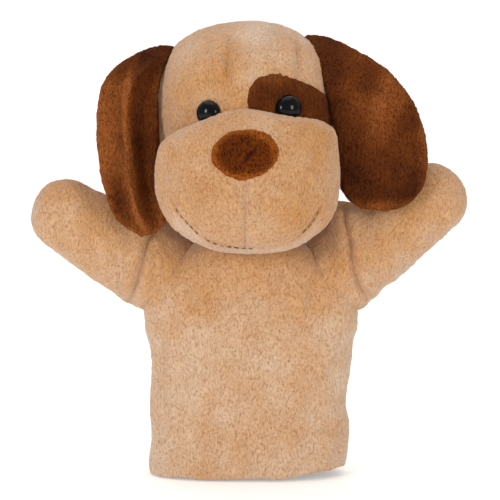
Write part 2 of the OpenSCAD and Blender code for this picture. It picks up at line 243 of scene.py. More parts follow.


# Short-pile polyester plush, cut and brushed: the pile scatters light, so the cloth has no gloss and its
# edges look paler. Broad noise and the attribute of the pile's lie with painted light and shade pick the hue
# from a ramp, which gives soft clouds, and it is multiplied by a ramp over fine bent streaks, which paints
# shade into the gaps between the tufts and gives their bump.
def plush(name, look):
    material, tree = newMaterial(name)
    place = addNode(tree, "ShaderNodeTexCoord").outputs["Object"]
    bend = addNode(tree, "ShaderNodeTexNoise", {"Scale": 1 / (look["bendMm"] * mm), "Detail": 1.0},
                   {"Vector": place})
    centred = addNode(tree, "ShaderNodeVectorMath", {1: (0.5, 0.5, 0.5)}, {0: bend.outputs["Color"]},
                      operation="SUBTRACT")
    pushed = addNode(tree, "ShaderNodeVectorMath", {1: (look["bendBy"] * mm,) * 3},
                     {0: centred.outputs["Vector"], 2: place}, operation="MULTIPLY_ADD")
    lie = addNode(tree, "ShaderNodeMapping", {"Scale": (1.0, 1.0, look["streakStretch"])},
                  {"Vector": pushed.outputs["Vector"]}).outputs["Vector"]
    clouds = addNode(tree, "ShaderNodeTexNoise",
                     {"Scale": 1 / (look["cloudMm"] * mm), "Detail": 2.0, "Roughness": 0.5},
                     {"Vector": place})
    streaks = addNode(tree, "ShaderNodeTexNoise",
                      {"Scale": 1 / (look["streakMm"] * mm), "Detail": 2.0, "Roughness": 0.7},
                      {"Vector": lie})
    # painted light and shade, kept per point, shift the hue
    napAndPaintedLight = addNode(tree, "ShaderNodeAttribute", attribute_name="napAndPaintedLight")
    half = look["cloudShare"] / 2
    calm = addNode(tree, "ShaderNodeMapRange", {"To Min": 0.5 - half, "To Max": 0.5 + half},
                   {"Value": clouds.outputs["Fac"]})
    shade = addNode(tree, "ShaderNodeMath", None, {0: calm.outputs["Result"], 1: napAndPaintedLight.outputs["Fac"]})
    hueRamp = addNode(tree, "ShaderNodeValToRGB", None, {"Fac": shade.outputs["Value"]})
    # painted shade: low streak values darken the gaps between the tufts
    gapShadeRamp = addNode(tree, "ShaderNodeValToRGB", None, {"Fac": streaks.outputs["Fac"]})
    colour = addNode(tree, "ShaderNodeMix", {0: 1.0},
                     {6: setRamp(hueRamp, look["colours"]), 7: setRamp(gapShadeRamp, look["gapShade"])},
                     data_type="RGBA", blend_type="MULTIPLY")
    raised = addNode(tree, "ShaderNodeBump", {"Strength": look["bump"], "Distance": look["bumpMm"] * mm},
                     {"Height": streaks.outputs["Fac"]})
    shader = addNode(tree, "ShaderNodeBsdfPrincipled",
                     {"Roughness": 0.95, "Sheen Weight": look["sheen"], "Sheen Roughness": look["sheenRough"],
                      "Sheen Tint": hexColour(look["sheenTint"]), "Specular IOR Level": 0.1},
                     {"Base Color": colour.outputs[2], "Normal": raised.outputs["Normal"]})
    addNode(tree, "ShaderNodeOutputMaterial", None, {"Surface": shader.outputs["BSDF"]})
    return material


# Tan pile: pale fibres, so a strong sheen. A tuft is about half a millimetre wide, and is drawn at 0.88
# mm so that it shows.
tanLook = dict(cloudMm=19, cloudShare=0.55, bendMm=10, bendBy=5, streakMm=0.88, streakStretch=0.45,
               bump=1.0, bumpMm=1.0, sheen=0.6, sheenRough=0.45, sheenTint="#FFF0E6",
               colours=((0.22, "#C48B4B"), (0.5, "#D0A47A"), (0.78, "#DABEA4")),
               # the last ramp paints shade into the gaps between the tufts
               gapShade=((0.28, "#C6AC95"), (0.45, "#ECE3DA"), (0.64, "#FFFFFF")))
# dark brown pile: little sheen, and painted shade in the gaps that is darker against the tufts
brownLook = dict(tanLook, sheen=0.18, sheenTint="#C87840",
                 colours=((0.24, "#431E0A"), (0.5, "#6F3A14"), (0.76, "#9C5C2C")),
                 gapShade=((0.3, "#94745C"), (0.48, "#E4D8CC"), (0.64, "#FFFFFF")))
# chestnut pile: warmer, with the darkest painted shade in its gaps, so that it looks dense
noseLook = dict(brownLook, sheen=0.16, colours=((0.24, "#4A1E05"), (0.5, "#763A08"), (0.76, "#AA5E1C")),
                gapShade=((0.32, "#6E4E3A"), (0.5, "#E0D0C0"), (0.66, "#FFFFFF")))

tanPlush = plush("tanShortPilePlush", tanLook)
brownPlush = plush("brownShortPilePlush", brownLook)
nosePlush = plush("chestnutShortPilePlush", noseLook)


# A smooth or finely grained finish: one noise mixes a little of a second tone into the colour, moves the
# roughness up and down by the share wander, and gives a shallow bump.
def plainFinish(name, colour, roughness, grainMm, bump, tone, toneShare, specular=0.5, ior=1.5):
    wander, bumpMm = 0.15, 0.2
    material, tree = newMaterial(name)
    place = addNode(tree, "ShaderNodeTexCoord").outputs["Object"]
    grain = addNode(tree, "ShaderNodeTexNoise", {"Scale": 1 / (grainMm * mm), "Detail": 3.0},
                    {"Vector": place})
    share = addNode(tree, "ShaderNodeMath", {1: toneShare}, {0: grain.outputs["Fac"]}, operation="MULTIPLY")
    colours = addNode(tree, "ShaderNodeMix", {6: hexColour(colour), 7: hexColour(tone)},
                      {0: share.outputs["Value"]}, data_type="RGBA")
    rough = addNode(tree, "ShaderNodeMapRange",
                    {"To Min": roughness * (1 - wander), "To Max": roughness * (1 + wander)},
                    {"Value": grain.outputs["Fac"]})
    raised = addNode(tree, "ShaderNodeBump", {"Strength": bump, "Distance": bumpMm * mm},
                     {"Height": grain.outputs["Fac"]})
    shader = addNode(tree, "ShaderNodeBsdfPrincipled", {"IOR": ior, "Specular IOR Level": specular},
                     {"Base Color": colours.outputs[2], "Roughness": rough.outputs["Result"],
                      "Normal": raised.outputs["Normal"]})
    addNode(tree, "ShaderNodeOutputMaterial", None, {"Surface": shader.outputs["BSDF"]})
    return material


# acrylic with its mould's polish: nearly black, with small clear highlights
eyeBlack = plainFinish("blackMouldedAcrylicEye", "#010101", roughness=0.12, grainMm=3.0, bump=0.02,
                       tone="#100A06", toneShare=0.1, specular=0.2, ior=1.49)
# moulded polypropylene: an even off-white with a dull shine
washerWhite = plainFinish("whiteMouldedPolypropylene", "#E4E2DA", roughness=0.45, grainMm=0.8, bump=0.2,
                          tone="#000000", toneShare=0.1)
# carded polyester fibre: matt, with the soft shade between its strands
fibreFill = plainFinish("whitePolyesterFibreFill", "#E9E6DE", roughness=0.95, grainMm=1.2, bump=0.8,
                        tone="#B9B4A8", toneShare=0.4)
# warp knit: matt, with a grain as fine as its loops
knitLining = plainFinish("tanWarpKnitLining", "#C29A72", roughness=0.9, grainMm=0.5, bump=0.6,
                         tone="#8C6844", toneShare=0.4)
# woven satin: pale, with the soft shine of its long floats
labelSatin = plainFinish("whiteWovenSatinLabel", "#EDEBE6", roughness=0.4, grainMm=0.4, bump=0.3,
                         tone="#BDB9B0", toneShare=0.3)
# twisted polyester thread: a slight shine, with painted shade as darker flecks where the strands meet
stitchThread = plainFinish("brownPolyesterThread", "#6E4728", roughness=0.6, grainMm=0.4, bump=0.4,
                           tone="#3A2412", toneShare=0.4)


# gives a piece its material, and hides the CAD nodes that it stands for
def finishPiece(piece, material, *nodes):
    piece.data.materials.clear()
    piece.data.materials.append(material)
    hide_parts(*nodes)


# The camera stands back from its aim and a little above it, and its lens makes the frame fieldMm wide there.
view = dict(distance=1.05, elevation=6.0, fieldMm=261.5, aimX=0.0, aimZ=120.8, sensorMm=36, near=0.05)
aim = Vector((view["aimX"] * mm, 0, view["aimZ"] * mm))
tilt = math.radians(view["elevation"])
camera = bpy.data.objects.new("camera", bpy.data.cameras.new("camera"))
camera.data.sensor_width = view["sensorMm"]
camera.data.lens = view["sensorMm"] * view["distance"] / (view["fieldMm"] * mm)
camera.data.clip_start = view["near"]
camera.location = aim + Vector((0, -math.cos(tilt), math.sin(tilt))) * view["distance"]
camera.rotation_euler = (aim - camera.location).to_track_quat("-Z", "Y").to_euler()
bpy.context.scene.collection.objects.link(camera)
bpy.context.scene.camera = camera

# a sweep of pale paper, in metres: flat underfoot, then curving up into a wall behind
sweep = dict(front=-4, side=4, bendFrom=1.0, bendRadius=0.9, top=4, colour="#F4F3F1", glow=0.3)
sweepTurn = np.linspace(0, math.pi / 2, 24)
bendFrom, bendRadius, side = sweep["bendFrom"], sweep["bendRadius"], sweep["side"]
sweepY = np.concatenate([[sweep["front"]], bendFrom + bendRadius * np.sin(sweepTurn),
                         [bendFrom + bendRadius]])
sweepZ = np.concatenate([[0], bendRadius * (1 - np.cos(sweepTurn)), [sweep["top"]]])
floorPoints = [(x, float(y), float(z)) for y, z in zip(sweepY, sweepZ) for x in (-side, side)]
floorFaces = [(2 * i, 2 * i + 1, 2 * i + 3, 2 * i + 2) for i in range(len(sweepY) - 1)]
floorMesh = bpy.data.meshes.new("floor")
floorMesh.from_pydata(floorPoints, [], floorFaces)
floorMesh.polygons.foreach_set("use_smooth", np.ones(len(floorFaces), bool))
floor = bpy.data.objects.new("floor", floorMesh)
bpy.context.scene.collection.objects.link(floor)
# matt coated paper: plain and pale, with a faint glow that keeps the shadows light
floorMaterial, floorTree = newMaterial("palePaper")
floorShade = addNode(floorTree, "ShaderNodeBsdfPrincipled",
                     {"Base Color": hexColour(sweep["colour"]), "Roughness": 0.9,
                      "Emission Color": hexColour("#FFFFFF"), "Emission Strength": sweep["glow"]})
addNode(floorTree, "ShaderNodeOutputMaterial", None, {"Surface": floorShade.outputs["BSDF"]})
floorMesh.materials.append(floorMaterial)

# metres and watts
lamps = dict(
    leftSoftbox=dict(place=(-0.85, -1.05, 0.5), target=(0, 0, 0.14), size=(0.28, 0.42), power=6.3),
    rightSoftbox=dict(place=(0.95, -0.95, 0.45), target=(0, 0, 0.14), size=(0.28, 0.42), power=4.2),
    overhead=dict(place=(0, 0.1, 1.3), target=(0, 0, 0.1), size=(1.2, 1.2), power=5))
worldStrength = 0.56


# a rectangular white lamp, turned so that it faces its target
def softLight(name, place, target, size, power):
    lamp = bpy.data.lights.new(name, "AREA")
    lamp.shape = "RECTANGLE"
    lamp.size, lamp.size_y = size
    lamp.energy = power
    holder = bpy.data.objects.new(name, lamp)
    holder.location = place
    holder.rotation_euler = (Vector(target) - Vector(place)).to_track_quat("-Z", "Y").to_euler()
    bpy.context.scene.collection.objects.link(holder)


for name, lamp in lamps.items():
    softLight(name, **lamp)
world = bpy.data.worlds.new("studio")
world.use_nodes = True
world.node_tree.nodes["Background"].inputs["Color"].default_value = hexColour("#FFFFFF")
world.node_tree.nodes["Background"].inputs["Strength"].default_value = worldStrength
bpy.context.scene.world = world
bpy.context.scene.view_settings.view_transform = "Standard"
print("stage: camera, floor and light")


# the glove's half widths and half depths by height, in mm, as pairs of height and size
glove = dict(
    columns=420, rows=182,
    leftWidth=((0, 51.6), (9, 52.4), (27, 51.6), (36, 50.8), (44, 51.4), (58, 53.6), (72, 55),
               (84, 56.6), (92, 56.4), (100, 54.4), (108, 50), (115, 43.5), (121, 35), (127, 21.5)),
    rightWidth=((0, 53), (6, 53.8), (18, 53.2), (34, 53.6), (60, 53.2), (75, 53.8),
                (84, 55.2), (92, 56), (100, 54.4), (108, 50), (115, 43.5), (121, 35), (127, 21.5)),
    depth=((0, 25), (30, 26.3), (60, 27), (85, 26), (100, 24), (115, 22), (127, 21.2)),
    wall=2.6, squareness=2.35, chestSquarer=0.8, neckRounder=0.35, top=127.0, hemRoll=0.9, topRoll=0.6,
    seamDepth=0.7, armpitFold=0.9, besideFold=1.9, hemFlare=1.3)

hem = dict(rise=4.0, riseFrom=14, riseTo=36, hump=1.2, humpAt=-6, humpWidth=14, wave=0.4, waveSize=7.5,
           lift=0.7, fadesAt=55)


# How far the hem stands off the floor at a place across the glove: a rise to the puppet's left, a low hump
# near the middle and a small wave.
def hemRise(x):
    rise = hem["rise"] * smoothStep(hem["riseFrom"], hem["riseTo"], x)
    hump = hem["hump"] * bell(x, hem["humpAt"], hem["humpWidth"])
    return rise + hump + hem["wave"] * np.sin(x / hem["waveSize"]) + hem["lift"]


# Round the glove by angle and up it by height: a rounded rectangle whose half widths and half depth run
# through the tables, drawn in by inset. It is squarest across the chest, where the sleeves leave it.
def gloveSurface(angle, z, inset):
    chest, shoulders = bell(z, 104, 16), smoothStep(108, 127, z)
    power = 2 / (glove["squareness"] + glove["chestSquarer"] * chest - glove["neckRounder"] * shoulders)
    c, s = np.cos(angle), np.sin(angle)
    width = np.where(c > 0, runThrough(glove["leftWidth"], z), runThrough(glove["rightWidth"], z))
    x = (width - inset) * np.sign(c) * np.abs(c) ** power
    y = (runThrough(glove["depth"], z) - inset) * np.sign(s) * np.abs(s) ** power
    return x, y


# Round by angle and along a path that runs down the outside, round the hem, up the inside and over the top
# edge. The surface is then swelled outwards by soft lumps, less the depth of its folds and seams.
def makeGlove():
    top, wall = glove["top"], glove["wall"]
    half = wall / 2
    outer, inner = np.linspace(0, top, glove["rows"]), np.linspace(0, top, 40)
    roll = np.linspace(0, math.pi, 9)[1:-1]
    z = np.concatenate([outer[::-1], -half * np.sin(roll) * glove["hemRoll"],
                        inner, top + half * np.sin(roll[::-1]) * glove["topRoll"]])
    inset = np.concatenate([0 * outer, half * (1 - np.cos(roll)),
                            wall + 0 * inner, half * (1 - np.cos(roll[::-1]))])
    angle = np.linspace(0, 2 * math.pi, glove["columns"], endpoint=False)
    a, zz = np.meshgrid(angle, z, indexing="ij")
    x, y = gloveSurface(a, np.clip(zz, 0, top), np.broadcast_to(inset, a.shape))
    flat = np.stack([x, y, zz], -1)
    swell = 1.3 * noise(flat, 34, 11) + 0.6 * noise(flat, 15, 12)
    # slack folds that run from the armpits down across the belly
    for side, slope, reach in ((-1, 0.9, 30), (1, 1.1, 34)):
        across = np.abs(x - side * 52) * 0.55 + (zz - 88) * slope
        belly = smoothStep(reach, 4, np.abs(x - side * 50)) * (zz < 92)
        swell += glove["armpitFold"] * bell(across, -9, 5) * belly
    swell -= glove["seamDepth"] * bell(y, 0, 1.4) * smoothStep(20, 30, np.abs(x))
    # the valley beside the rolled fold under the broad ear
    valley = bell(x - 35.5 - 0.14 * (zz - 108), 0, 3.4)
    swell -= glove["besideFold"] * valley * smoothStep(80, 100, zz) * smoothStep(0, -8, y)
    k = 1 + swell / np.maximum(np.hypot(x, y), 1)
    rise = hemRise(x) * (1 - smoothStep(0, hem["fadesAt"], zz))
    rise += glove["hemFlare"] * (1 - smoothStep(0, 4, zz))
    return gridPiece("gloveCloth", np.stack([x * k, y * k + neckY, zz + rise], -1), True, True)


# painted light low down and at the sides, and painted shade up over the chest and shoulders, under the head
def gloveLightAndShade(x, y, z):
    return 0.12 - 0.24 * smoothStep(76, 114, z) + 0.08 * smoothStep(36, 50, np.abs(x))


gloveCloth = makeGlove()
raisePile(gloveCloth, shortPile, 21)
setNapAndPaintedLight(gloveCloth, gloveLightAndShade)
finishPiece(gloveCloth, tanPlush, "glove_front", "glove_back")
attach(gloveCloth, "glove")


facing = dict(low=2, high=15, outside=3.0, inside=4.4, rows=12, columns=200)


# The facing inside the glove's mouth: a thin band at two insets of the glove's surface that follows the hem.
def makeFacing():
    rows, low, high = facing["rows"], facing["low"], facing["high"]
    z = np.concatenate([np.linspace(low, high, rows), np.linspace(high, low, rows)])
    inset = np.concatenate([np.full(rows, facing["outside"]), np.full(rows, facing["inside"])])
    angle = np.linspace(0, 2 * math.pi, facing["columns"], endpoint=False)
    a, zz = np.meshgrid(angle, z, indexing="ij")
    x, y = gloveSurface(a, zz, np.broadcast_to(inset, a.shape))
    rise = hemRise(x) * (1 - smoothStep(0, hem["fadesAt"], zz))
    return gridPiece("hemFacing", np.stack([x, y + neckY, zz + rise], -1), True, True)


hemFacing = makeFacing()
finishPiece(hemFacing, knitLining, "hem_facing")
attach(hemFacing, "glove")
print("glove: body and facing")


# shoulder is across and up; radius and flat run along the arm from there, in mm and as a share of the radius
sleeve = dict(
    shoulder=(50.0, 110.5), leftRise=math.radians(38.2), rightRise=math.radians(31.6),
    reach=56.0, leftLonger=1.7, rightLonger=-2.3,
    radius=((-20, 20), (-12, 21.5), (0, 23), (10, 22.8), (20, 21.9), (32, 21), (44, 19.9), (57, 18.8)),
    flat=((-20, 0.7), (-14, 0.8), (-8, 0.86), (0, 0.91), (10, 0.95), (30, 0.86), (57, 0.82)),
    endPower=2.15, split=16.0, lap=3.0, lapDip=0.9, wall=2.6, rootStart=-19, columns=230)
# mm that the cloth sinks or swells at its crease, the roll beyond it, the puffed shoulder and the rest
leftFolds = dict(crease=2.8, roll=1.6, rollBefore=1.2, puff=8.5, tuck=1.6)
rightFolds = dict(crease=2.8, roll=1.8, second=1.0, puff=3.0, flatTop=0.5, sag=0.8)
bothFolds = dict(back=1.2, seam=0.7, lumps=0.7)


# A tube along the raised arm that closes in a round end. along is the distance from the shoulder, and
# past reach it is the height over the end's middle. Returns places beside, before and along the arm.
def sleeveSurface(angle, along, inset):
    reach = sleeve["reach"]
    r = runThrough(sleeve["radius"], np.minimum(along, reach))
    past = np.clip((along - reach) / (r - inset), 0, 1)
    r = (r - inset) * (1 - past ** sleeve["endPower"]) ** (1 / sleeve["endPower"])
    flat = runThrough(sleeve["flat"], np.minimum(along, reach))
    return r * np.cos(angle), r * flat * np.sin(angle)


# turns the tube's places up by the arm's rise and moves them to its shoulder, side 1 for left, -1 for right
def placeSleeve(beside, before, along, side):
    rise = sleeve["leftRise"] if side > 0 else sleeve["rightRise"]
    along = along + (sleeve["leftLonger"] if side > 0 else sleeve["rightLonger"]) * smoothStep(24, 66, along)
    x = sleeve["shoulder"][0] + along * math.cos(rise) - beside * math.sin(rise)
    z = sleeve["shoulder"][1] + along * math.sin(rise) + beside * math.cos(rise)
    return np.stack([x * side, before + neckY, z], -1)


# beside > 0 is the upper edge. A sharp crease slants across each root, the cloth beyond it rolls up, and
# the shoulder's top is puffed under the ear. Each is a bell along the arm, faded by where it ends.
def sleeveFolds(beside, before, along, side):
    front = smoothStep(2, -8, before)
    ends = smoothStep(-24, -14, beside) * smoothStep(24, 16, beside)
    if side > 0:
        folds = leftFolds
        bent = along - 0.37 * beside - 0.012 * (beside + 4) ** 2 - 4.4
        swell = -folds["crease"] * bell(bent, 0, 1.6) * front * ends
        swell += folds["roll"] * bell(bent, 5, 3.5) * front + folds["rollBefore"] * bell(bent, -6, 4) * front
        swell += folds["puff"] * bell(along, 16, 8) * smoothStep(6, 22, beside)
        swell -= folds["tuck"] * bell(along, 8, 6) * smoothStep(-14, -22, beside)
    else:
        folds = rightFolds
        bent = along - 0.26 * beside - 7.2
        swell = -folds["crease"] * bell(bent, 0, 1.5) * front * ends
        swell += folds["roll"] * bell(bent, 5, 3.5) * front
        swell -= folds["second"] * bell(along - 0.65 * beside, 21.5, 1.8) * front * smoothStep(2, -4, beside)
        swell += folds["puff"] * bell(along, 13, 9) * smoothStep(6, 22, beside)
        swell -= folds["flatTop"] * smoothStep(30, 50, along) * smoothStep(6, 18, beside)
        swell += folds["sag"] * smoothStep(-6, -18, beside) * smoothStep(12, 24, along)
    swell -= bothFolds["back"] * bell(along + 0.1 * beside, 7, 3.2) * smoothStep(-2, 8, before)
    return swell - bothFolds["seam"] * bell(before, 0, 1.3)


# Rings round the arm at the given distances and insets, swelled outwards by the folds and soft lumps.
def sleevePart(name, side, alongValues, insetValues, closedRing):
    angle = np.linspace(0, 2 * math.pi, sleeve["columns"], endpoint=False)
    a, s = np.meshgrid(angle, alongValues, indexing="ij")
    inset = np.broadcast_to(insetValues, a.shape)
    beside, before = sleeveSurface(a, s, inset)
    ring = np.stack([beside, before, s], -1)
    # side * 90 moves the two sleeves to different parts of the noise
    swell = sleeveFolds(beside, before, s, side) + bothFolds["lumps"] * noise(ring + side * 90, 17, 31)
    size = np.maximum(np.hypot(beside, before), 0.5)
    k = 1 + swell * smoothStep(0, 9, size) / size
    return gridPiece(name, placeSleeve(beside * k, before * k, s, side), True, closedRing, sharp=70)


# A sleeve in two parts that lap at the split: a root that is a ring of cloth, and an end that runs up
# inside from the split, round the closed tip and back outside.
def makeSleeve(side, word):
    split, lap, reach, wall = sleeve["split"], sleeve["lap"], sleeve["reach"], sleeve["wall"]
    tip = float(runThrough(sleeve["radius"], np.array(reach)))
    outer = np.concatenate([np.linspace(split - lap, reach, 84)[:-1],
                            reach + tip * np.sin(np.linspace(0, math.pi / 2, 44))])
    inner = np.concatenate([reach + (tip - wall) * np.sin(np.linspace(math.pi / 2, 0, 12)),
                            np.linspace(reach, split - lap, 16)[1:]])
    endDip = sleeve["lapDip"] * smoothStep(split, split - lap, outer)
    end = sleevePart(word + "Sleeve", side, np.concatenate([inner, outer]),
                     np.concatenate([np.full(len(inner), wall), endDip]), False)
    rootOuter = np.linspace(sleeve["rootStart"], split + lap, 66)
    rootInner = np.linspace(split + lap, sleeve["rootStart"], 14)
    rootDip = sleeve["lapDip"] * smoothStep(split, split + lap, rootOuter)
    root = sleevePart(word + "SleeveRoot", side, np.concatenate([rootInner, rootOuter]),
                      np.concatenate([np.full(len(rootInner), wall), rootDip]), True)
    return root, end


# painted shade on the arm's upper side and painted light on its lower side
def sleeveLightAndShade(x, y, z):
    above = (z - 110) - 0.72 * (np.abs(x) - 50)
    return -0.08 + 0.16 * smoothStep(6, -16, above)


for side, word in ((1, "left"), (-1, "right")):
    root, end = makeSleeve(side, word)
    for piece in (root, end):
        raisePile(piece, shortPile, 41)
        setNapAndPaintedLight(piece, sleeveLightAndShade)
    finishPiece(root, tanPlush, word + "_armhole_band")
    finishPiece(end, tanPlush, word + "_sleeve_front", word + "_sleeve_back")
    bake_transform(root)
    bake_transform(end)
print("sleeves: roots and ends")


neck = dict(low=120.0, middle=137.0, high=152.0, wall=2.2, radius=21.2, waist=2.2, gather=0.7, gathers=13,
            half=17, columns=200, rows=26, innerRows=10)


# A gathered tube: it narrows to a waist half way up, and its radius waves round it, deepest there.
def neckPart(name, low, high):
    rows, innerRows = neck["rows"], neck["innerRows"]
    z = np.concatenate([np.linspace(low, high, rows), np.linspace(high, low, innerRows)])
    inset = np.concatenate([np.zeros(rows), np.full(innerRows, neck["wall"])])
    a, zz = np.meshgrid(np.linspace(0, 2 * math.pi, neck["columns"], endpoint=False), z, indexing="ij")
    waist = 1 - ((zz - neck["middle"]) / neck["half"]) ** 2
    wave = np.cos(neck["gathers"] * a + 2 * np.sin(3 * a))
    r = neck["radius"] - neck["waist"] * waist + neck["gather"] * waist * wave - inset
    return gridPiece(name, np.stack([r * np.cos(a), r * np.sin(a) + neckY, zz], -1), True, True, sharp=70)


lowerNeck = neckPart("lowerNeck", neck["low"], neck["middle"])
upperNeck = neckPart("upperNeck", neck["middle"], neck["high"])
for piece in (lowerNeck, upperNeck):
    raisePile(piece, shortPile, 51)
finishPiece(lowerNeck, tanPlush, "neck_band")
finishPiece(upperNeck, tanPlush, "neck_band")
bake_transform(lowerNeck)
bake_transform(upperNeck)
print("neck: two gathered parts")


head = dict(
    halfWidth=48.0, halfDepth=45.5, halfHeight=49.7, middle=190.0, power=2.4, low=144.8, lowRound=4,
    lean=math.radians(3.3), pivot=150.0, columns=416, rows=238, bridge=2.2, earSeam=1.0, backSeam=0.9,
    # folds up the forehead: height, place across, width, slant, and where each starts and is full
    browFolds=((-2.6, -8.2, 2.5, 0.08, 203, 213), (1.5, -3.5, 3.2, 0, 205, 216), (-1.5, -19, 4, 0, 200, 216),
               (-2.2, 29, 1.9, 0, 206, 215), (0.8, 25, 3, 0, 206, 215)))


# turns places about the neck's front-to-back line, so the crown leans to the puppet's right
def leaned(x, z, turn=1):
    c, s = math.cos(head["lean"] * turn), math.sin(head["lean"] * turn)
    up = z - head["pivot"]
    return x * c - up * s, head["pivot"] + x * s + up * c


# share of the full width at a height: a rounded square's profile
def skullShare(z):
    t = np.clip(np.abs(z - head["middle"]) / head["halfHeight"], 0, 1)
    return (1 - t ** head["power"]) ** (1 / head["power"])


# the face comes forward between the eyes, where the muzzle is sewn to it
def bridge(x, z):
    return head["bridge"] * bell(x, -1, 9) * bell(z, 195.5, 6)


# The face's y at a place across and up the leaning head: half its depth times the root of the profile's
# share squared less the place's share of the width squared, and the bridge.
def faceY(x, z):
    ux, uz = leaned(x, z, -1)
    inside = np.maximum(skullShare(uz) ** 2 - (ux / head["halfWidth"]) ** 2, 0)
    return neckY - head["halfDepth"] * np.sqrt(inside) - bridge(ux, uz)


# A rounded square in profile and round in plan, flattened to its base. The surface is then swelled outwards
# by soft lumps, less its two seams, with the forehead's folds and the bridge.
def makeHead():
    a, t = np.meshgrid(np.linspace(0, 2 * math.pi, head["columns"], endpoint=False),
                       np.linspace(0, math.pi, head["rows"]), indexing="ij")
    e = 2 / head["power"]
    z = head["middle"] + head["halfHeight"] * np.sign(np.cos(t)) * np.abs(np.cos(t)) ** e
    share = np.abs(np.sin(t)) ** e
    low, lowRound = head["low"], head["lowRound"]
    z = np.where(z < low + lowRound, low + lowRound * np.exp((z - low - lowRound) / lowRound), z)
    x = head["halfWidth"] * share * np.cos(a)
    y = head["halfDepth"] * share * np.sin(a)
    flat = np.stack([x, y, z], -1)
    swell = 1.1 * noise(flat, 30, 61) + 0.5 * noise(flat, 13, 62)
    swell -= head["earSeam"] * bell(y, 3, 1.5) * smoothStep(0.2, 0.5, share)
    swell -= head["backSeam"] * bell(x, 0, 1.4) * smoothStep(2, 8, y)
    brow = smoothStep(-6, -16, y) * smoothStep(238, 230, z)
    for height, across, width, slant, start, full in head["browFolds"]:
        swell += height * bell(x - slant * (z - 216), across, width) * brow * smoothStep(start, full, z)
    swell += bridge(x, z) * smoothStep(-20, -30, y)
    size = np.maximum(np.hypot(x, y), 1)
    k = 1 + swell * smoothStep(0, 6, size) / size
    lx, lz = leaned(x * k, z)
    return gridPiece("headCloth", np.stack([lx, y * k + neckY, lz], -1))


# painted light at the crown and up the middle of the forehead, painted shade to the puppet's right and in the
# deepest fold
def headLightAndShade(x, y, z):
    forehead = smoothStep(200, 212, z)
    fold = bell(x - 0.08 * (z - 216), -10.5, 2.6) * smoothStep(205, 214, z) * smoothStep(232, 222, z)
    return (-0.08 + 0.16 * smoothStep(212, 236, z) + 0.18 * bell(x, 2, 10) * forehead
            - 0.1 * bell(x, -22, 8) * forehead - 0.16 * fold)


headCloth = makeHead()
raisePile(headCloth, shortPile, 71)
setNapAndPaintedLight(headCloth, headLightAndShade)
finishPiece(headCloth, tanPlush, "face_panel", "head_back_left", "head_back_right")
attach(headCloth, "head")


# outline and mouth are across and up, as the muzzle is seen from the front
muzzle = dict(
    centre=(-1.5, 160.0), front=-54.5, back=26, columns=480, rows=200, roundSide=0.86, roundFront=0.92,
    middle=-24, seam=1.1, cheeks=1.3, mouthLine=1.7, chinStep=1.3,
    outline=((-8, 194.9), (-2, 195.8), (5, 194.9), (13.5, 193.3), (23.5, 191.7), (35.7, 189.6),
             (42.9, 184.9), (45.2, 177.5), (45.8, 163.2), (45.4, 151.3), (42.9, 141.6), (36.3, 132.9),
             (24.6, 124.9), (11.8, 121.3), (-2.6, 120.6), (-16.9, 121.8), (-29.2, 126.2), (-38.9, 133.4),
             (-44.5, 141.6), (-47.5, 151.3), (-48.4, 159.6), (-47.8, 169.3), (-44.6, 178.4), (-36.4, 184.8),
             (-26, 189.2), (-16.5, 192.6)),
    mouth=((-38.8, 149.9), (-36.7, 145), (-32.1, 139.3), (-25.1, 132.2), (-17, 127.6), (-6, 125.6),
           (4, 125.3), (11.5, 126.1), (22.1, 130.2), (29.6, 136.6), (33.6, 143), (36.3, 148.4)))


# distance from the muzzle's centre to its outline, by the angle round it from straight up
def outlineReach(angle):
    line = curveThrough(muzzle["outline"], np.linspace(0, 1, 721), closed=True)
    dx, dz = line[:, 0] - muzzle["centre"][0], line[:, 1] - muzzle["centre"][1]
    around = np.arctan2(dx, dz)
    order = np.argsort(around)
    return np.interp(angle, around[order], np.hypot(dx, dz)[order], period=2 * math.pi)


# How far a place seen from the front lies from the mouth's line, positive below it: the drop from the line,
# shortened for its slope there. The second value falls to 0 beyond the line's ends.
def belowMouth(x, z):
    line = curveThrough(muzzle["mouth"], np.linspace(0, 1, 160))
    level = np.interp(x, line[:, 0], line[:, 1])
    slope = np.gradient(line[:, 1], line[:, 0])
    steep = np.interp(x, line[:, 0], slope)
    inside = smoothStep(1.5, -1.5, np.abs(x + 1.25) - 37.2)
    return (level - z) / np.sqrt(1 + steep ** 2), inside


# A pillow: turn goes round it as seen from the front, and lean from its front (0) over its fullest outline
# (a quarter turn) to its back, which lies in the head. The outline stands further forward at the top.
def muzzleSurface(turn, lean):
    sine, cosine = np.sin(lean), np.cos(lean)
    upper = smoothStep(0.1, 0.95, np.cos(turn))
    lower = smoothStep(0.2, 0.95, -np.cos(turn))
    reach = outlineReach(turn) * sine ** muzzle["roundSide"]
    x = muzzle["centre"][0] + reach * np.sin(turn)
    z = muzzle["centre"][1] + reach * np.cos(turn)
    equator = -22.5 - 15.5 * upper + 1.5 * lower
    forward = (equator - muzzle["front"]) * np.sign(cosine) * np.abs(cosine) ** muzzle["roundFront"]
    y = np.where(cosine > 0, equator - forward, equator + muzzle["back"] * np.abs(cosine))
    return x, y, z


